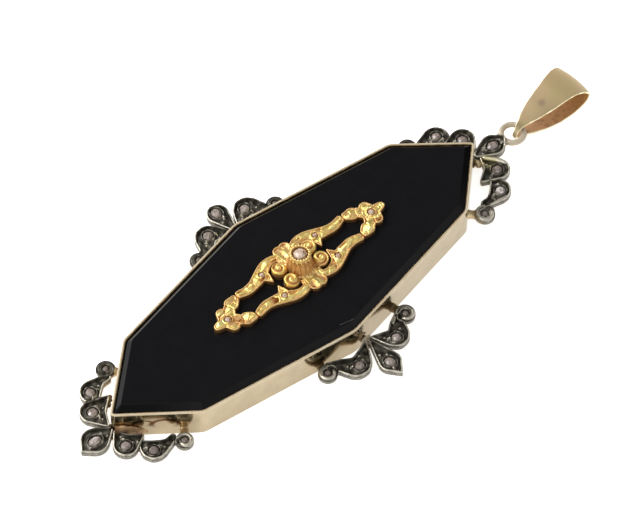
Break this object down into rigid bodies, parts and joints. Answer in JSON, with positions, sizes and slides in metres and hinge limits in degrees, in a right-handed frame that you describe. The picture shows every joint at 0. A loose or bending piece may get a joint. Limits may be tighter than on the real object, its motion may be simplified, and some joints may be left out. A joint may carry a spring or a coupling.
{
  "type": "onyx pendant",
  "caption": "Long octagonal onyx plaque in a plain gold case, with silver and diamond leaf scrolls at its corners, a pierced gold overlay and a swinging bail.",
  "frame": {"origin": "on the back of the case, between its two side corners", "axes": "+X across the plaque, +Y along it towards the bail, +Z out of the front"},
  "size_m": [0.0347, 0.0837, 0.0085],
  "materials": {
    "gold_case": "polished",
    "gold_overlay": "bright cut",
    "gold_bail": "satin",
    "silver": "oxidised, with bright edges",
    "onyx": "polished",
    "diamond": "rose cut"
  },
  "bodies": {
    "pendant_body": {"case": "gold_case", "onyx": "onyx", "bottom_ornament": "silver", "top_ornament": "silver", "right_ornament": "silver", "left_ornament": "silver", "overlay": "gold_overlay", "bottom_stone_1": "diamond", "bottom_stone_2": "diamond", "bottom_stone_3": "diamond", "bottom_stone_4": "diamond", "bottom_stone_5": "diamond", "bottom_stone_6": "diamond", "bottom_stone_7": "diamond", "top_stone_1": "diamond", "top_stone_2": "diamond", "top_stone_3": "diamond", "top_stone_4": "diamond", "top_stone_5": "diamond", "top_stone_6": "diamond", "top_stone_7": "diamond", "right_stone_1": "diamond", "right_stone_2": "diamond", "right_stone_3": "diamond", "right_stone_4": "diamond", "right_stone_5": "diamond", "left_stone_1": "diamond", "left_stone_2": "diamond", "left_stone_3": "diamond", "left_stone_4": "diamond", "left_stone_5": "diamond", "overlay_stone_1": "diamond", "overlay_stone_2": "diamond", "overlay_stone_3": "diamond", "overlay_stone_4": "diamond", "overlay_stone_5": "diamond", "overlay_stone_6": "diamond", "overlay_stone_7": "diamond"},
    "swinging_bail": {"bail": "gold_bail"}
  },
  "joints": [
    {"name": "bail_swing", "type": "hinge", "parent": "pendant_body", "child": "swinging_bail", "pos_m": [0.0008, 0.03821, 0.0012], "axis": [1, 0, 0], "range_deg": [-120, 120]}
  ]
}
